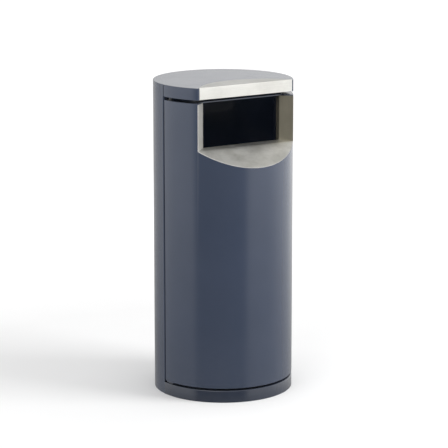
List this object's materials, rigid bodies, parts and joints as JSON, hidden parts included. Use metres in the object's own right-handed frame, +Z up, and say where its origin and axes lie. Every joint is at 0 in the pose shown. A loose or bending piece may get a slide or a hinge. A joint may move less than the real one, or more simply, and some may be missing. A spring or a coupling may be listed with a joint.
{
  "type": "ashtray bin",
  "caption": "Round floor-standing litter bin with a front door, a front mouth with a stainless sill and lid trim, a lift-out ashtray and a galvanised liner bucket.",
  "frame": {"origin": "centre of the round casing on the ground", "axes": "+Z up, -Y towards the front with the mouth, +X towards the door's lock side, -X towards its hinge side"},
  "size_m": [0.4004, 0.4006, 0.9012],
  "materials": {
    "paint": "glossy bluish anthracite powder coat on steel sheet",
    "brushed": "fine-brushed stainless sheet",
    "zinc": "bright zinc plate",
    "pin_steel": "turned steel, blackened",
    "nylon": "black moulded nylon",
    "lock_chrome": "satin chrome plate",
    "buffer_rubber": "moulded black rubber",
    "galvanised": "hot-dip galvanised with spangle",
    "handle_wire": "galvanised wire"
  },
  "bodies": {
    "casing": {"rear_shell": "paint", "base_band": "paint", "base_plate": "paint", "top_plate": "paint", "lid_skirt": "paint", "lid_trim": "brushed", "trim_nuts": "zinc", "lower_hinge_bracket": "paint", "upper_hinge_bracket": "paint", "lower_hinge_pin": "pin_steel", "upper_hinge_pin": "pin_steel", "strike_plate": "zinc", "strike_screws": "zinc", "door_buffers": "buffer_rubber", "liner_body": "galvanised", "liner_rim": "galvanised", "liner_ears": "galvanised", "liner_guides": "galvanised"},
    "door": {"door_panel": "paint", "door_bottom_rib": "paint", "door_top_rib": "paint", "sill_plate": "brushed", "left_cheek": "brushed", "right_cheek": "brushed", "ashtray_hanger": "brushed", "lower_hinge_bush": "nylon", "upper_hinge_bush": "nylon", "lock_housing": "lock_chrome", "lock_nut": "zinc"},
    "lock": {"lock_plug": "lock_chrome", "hook_cam": "zinc", "cam_screw": "zinc"},
    "ashtray": {"ashtray_tray": "brushed"},
    "bail": {"liner_handle": "handle_wire"}
  },
  "joints": [
    {"name": "door_hinge", "type": "hinge", "parent": "casing", "child": "door", "pos_m": [-0.188, -0.022, 0.0435], "axis": [0, 0, -1], "range_deg": [0, 110]},
    {"name": "lock_turn", "type": "hinge", "parent": "door", "child": "lock", "pos_m": [0.18711, -0.03299, 0.505], "axis": [-0.9848, 0.1736, 0], "range_deg": [0, 90]},
    {"name": "ashtray_lift", "type": "slide", "parent": "door", "child": "ashtray", "axis": [0, 0, 1], "range_m": [0, 0.105]},
    {"name": "bail_swing", "type": "hinge", "parent": "casing", "child": "bail", "pos_m": [0, 0, 0.647], "axis": [1, 0, 0], "range_deg": [0, 90]}
  ]
}
